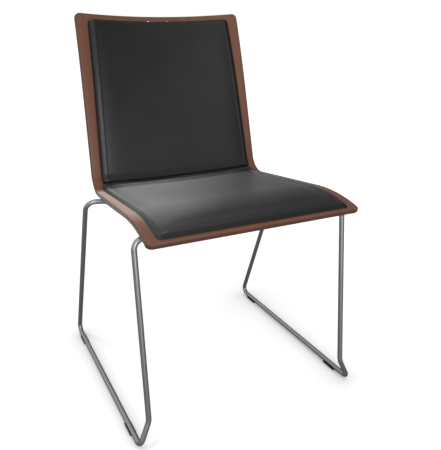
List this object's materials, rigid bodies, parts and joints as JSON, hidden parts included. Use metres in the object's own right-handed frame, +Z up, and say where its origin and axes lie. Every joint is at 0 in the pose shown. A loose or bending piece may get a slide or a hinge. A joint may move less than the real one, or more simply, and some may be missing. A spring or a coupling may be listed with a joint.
{
  "type": "sled base visitor chair",
  "caption": "Armless visitor chair: one-piece moulded plywood shell with inlaid upholstered pads on a bent steel rod sled base.",
  "frame": {"origin": "centre of the bounding box's footprint, on the floor under the glides", "axes": "+Z up, the sitter faces -Y, +X to the sitter's left hand side of the mirror plane"},
  "size_m": [0.5138, 0.5216, 0.7961],
  "materials": {
    "walnut_veneer": "walnut veneer with satin lacquer",
    "raw_plywood": "bare sanded birch plywood",
    "pad_cover": "fine grained charcoal leather look cover",
    "satin_steel": "satin metal finish",
    "zinc_plate": "bright zinc plate",
    "black_plastic": "moulded black nylon"
  },
  "bodies": {
    "root": {"seat_shell": "walnut_veneer", "seat_pad": "pad_cover", "back_pad": "pad_cover", "seat_pad_board": "raw_plywood", "back_pad_board": "raw_plywood", "left_sled_rod": "satin_steel", "right_sled_rod": "satin_steel", "front_cross_rod": "satin_steel", "rear_cross_rod": "satin_steel", "seat_pad_stud_1": "black_plastic", "seat_pad_stud_2": "black_plastic", "seat_pad_stud_3": "black_plastic", "seat_pad_stud_4": "black_plastic", "back_pad_stud_1": "black_plastic", "back_pad_stud_2": "black_plastic", "back_pad_stud_3": "black_plastic", "back_pad_stud_4": "black_plastic", "front_left_plate": "satin_steel", "front_left_insert": "zinc_plate", "front_left_screw": "zinc_plate", "front_left_glide": "black_plastic", "front_right_plate": "satin_steel", "front_right_insert": "zinc_plate", "front_right_screw": "zinc_plate", "front_right_glide": "black_plastic", "rear_left_plate": "satin_steel", "rear_left_insert": "zinc_plate", "rear_left_screw": "zinc_plate", "rear_left_glide": "black_plastic", "rear_right_plate": "satin_steel", "rear_right_insert": "zinc_plate", "rear_right_screw": "zinc_plate", "rear_right_glide": "black_plastic"}
  },
  "joints": []
}
